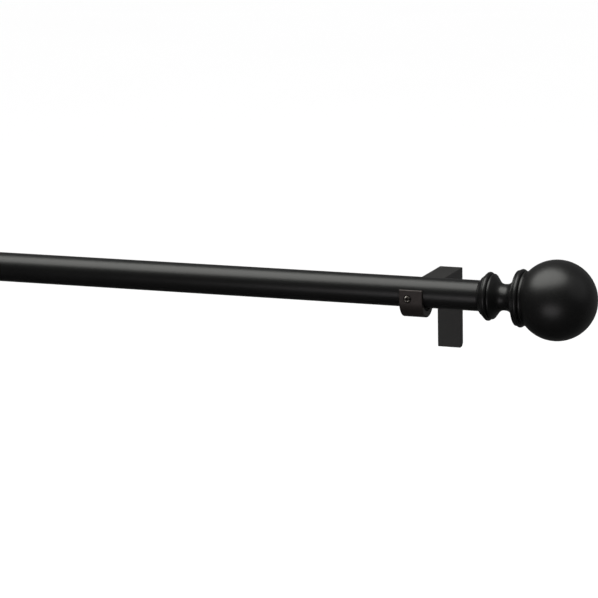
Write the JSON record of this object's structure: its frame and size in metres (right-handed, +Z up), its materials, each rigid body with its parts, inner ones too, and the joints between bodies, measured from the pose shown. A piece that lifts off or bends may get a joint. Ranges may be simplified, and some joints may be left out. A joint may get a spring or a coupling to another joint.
{
  "type": "curtain rod with brackets",
  "caption": "Telescoping round curtain rod in satin black with turned ball finials, held in U-shaped cradles on slim L-shaped wall brackets.",
  "frame": {"origin": "centre of the right bracket's mounting plate, on the face that lies on the wall", "axes": "+X along the rod to the right finial, +Y into the wall, +Z up"},
  "size_m": [0.9008, 0.1215, 0.0968],
  "materials": {
    "tube_paint": "satin black powder coat",
    "bracket_paint": "satin black powder coat",
    "holder_paint": "satin black powder coat",
    "finial_paint": "cast resin with satin black paint",
    "black_steel": "black oxide, worn bright at the socket",
    "zinc_steel": "zinc plated",
    "black_plastic": "moulded black",
    "black_rubber": "matte"
  },
  "bodies": {
    "root": {"right_mounting_plate": "zinc_steel", "right_bracket_body": "bracket_paint", "right_depth_nut": "black_steel", "left_mounting_plate": "zinc_steel", "left_bracket_body": "bracket_paint", "left_depth_nut": "black_steel"},
    "right_holder": {"right_holder": "holder_paint", "right_liner": "black_rubber"},
    "left_holder": {"left_holder": "holder_paint", "left_liner": "black_rubber"},
    "outer_rod": {"outer_tube": "tube_paint", "outer_trim_ring": "black_plastic", "right_end_plug": "black_plastic"},
    "inner_rod": {"inner_tube": "tube_paint", "inner_guide": "black_plastic", "left_end_plug": "black_plastic"},
    "right_finial": {"right_finial": "finial_paint", "right_finial_stud": "zinc_steel"},
    "left_finial": {"left_finial": "finial_paint", "left_finial_stud": "zinc_steel"},
    "right_rod_screw": {"right_rod_screw": "black_steel"},
    "left_rod_screw": {"left_rod_screw": "black_steel"},
    "right_depth_screw": {"right_depth_screw": "black_steel"},
    "left_depth_screw": {"left_depth_screw": "black_steel"},
    "right_cover_screw": {"right_cover_screw": "black_steel"},
    "left_cover_screw": {"left_cover_screw": "black_steel"}
  },
  "joints": [
    {"name": "right_depth", "type": "slide", "parent": "root", "child": "right_holder", "axis": [0, -1, 0], "range_m": [0, 0.025]},
    {"name": "left_depth", "type": "slide", "parent": "root", "child": "left_holder", "axis": [0, -1, 0], "range_m": [0, 0.025]},
    {"name": "rod_lift", "type": "slide", "parent": "right_holder", "child": "outer_rod", "axis": [0, 0, 1], "range_m": [0, 0.03]},
    {"name": "rod_length", "type": "slide", "parent": "outer_rod", "child": "inner_rod", "axis": [-1, 0, 0], "range_m": [0, 0.508]},
    {"name": "right_finial_unscrew", "type": "slide", "parent": "outer_rod", "child": "right_finial", "axis": [1, 0, 0], "range_m": [0, 0.014]},
    {"name": "left_finial_unscrew", "type": "slide", "parent": "inner_rod", "child": "left_finial", "axis": [-1, 0, 0], "range_m": [0, 0.014]},
    {"name": "right_rod_screw_back", "type": "slide", "parent": "right_holder", "child": "right_rod_screw", "axis": [0, -1, 0], "range_m": [0, 0.003]},
    {"name": "left_rod_screw_back", "type": "slide", "parent": "left_holder", "child": "left_rod_screw", "axis": [0, -1, 0], "range_m": [0, 0.003]},
    {"name": "right_depth_screw_back", "type": "slide", "parent": "root", "child": "right_depth_screw", "axis": [0, 0, -1], "range_m": [0, 0.003]},
    {"name": "left_depth_screw_back", "type": "slide", "parent": "root", "child": "left_depth_screw", "axis": [0, 0, -1], "range_m": [0, 0.003]},
    {"name": "right_cover_screw_back", "type": "slide", "parent": "root", "child": "right_cover_screw", "axis": [-1, 0, 0], "range_m": [0, 0.0045]},
    {"name": "left_cover_screw_back", "type": "slide", "parent": "root", "child": "left_cover_screw", "axis": [1, 0, 0], "range_m": [0, 0.0045]}
  ],
  "couplings": [
    {"joint": "left_depth", "follows": "right_depth", "ratio": 1}
  ]
}
